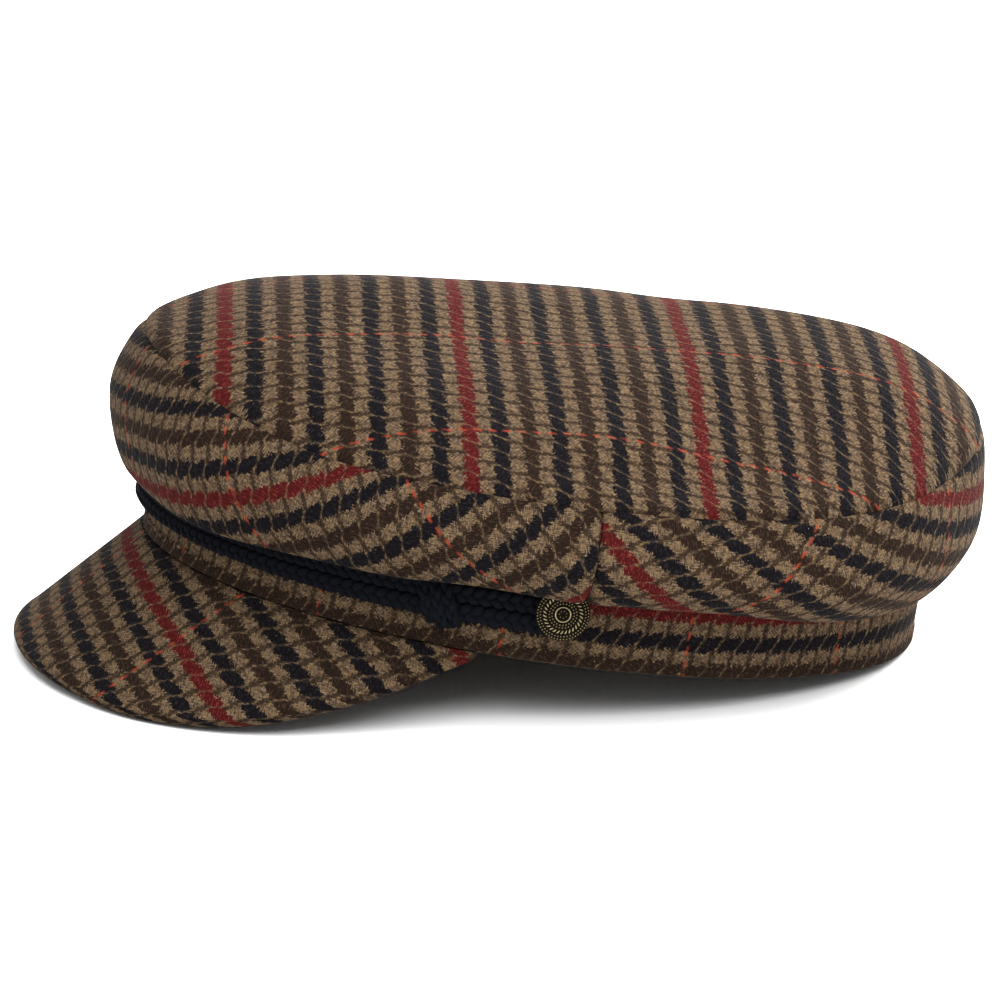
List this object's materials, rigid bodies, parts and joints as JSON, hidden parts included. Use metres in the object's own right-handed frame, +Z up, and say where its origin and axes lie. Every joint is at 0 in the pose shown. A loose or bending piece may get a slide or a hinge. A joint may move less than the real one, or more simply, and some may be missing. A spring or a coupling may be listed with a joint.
{
  "type": "fisherman cap",
  "caption": "Soft wool tweed fisherman cap with a full, drooping crown, a low band, a stiff short peak, and a braid with knots held by two metal buttons.",
  "frame": {"origin": "on the surface that the cap rests on, under the middle of its bounding box", "axes": "the peak points to -X, the wearer's left is -Y, +Z is up; the cap lies in its resting attitude, its band pitched about 9 degrees with the front up"},
  "size_m": [0.2538, 0.211, 0.0974],
  "materials": {
    "tweed": "brushed wool tweed, houndstooth check in tan, navy, brown and red",
    "cord": "matte plaited cotton cord, very dark navy",
    "bronze": "antiqued, dark in the recesses, worn bright on raised dots"
  },
  "bodies": {
    "root": {"crown_top": "tweed", "crown_front": "tweed", "crown_rear": "tweed", "band": "tweed", "peak": "tweed", "braid": "cord", "knot_left": "cord", "knot_right": "cord", "button_left": "bronze", "button_right": "bronze"}
  },
  "joints": []
}
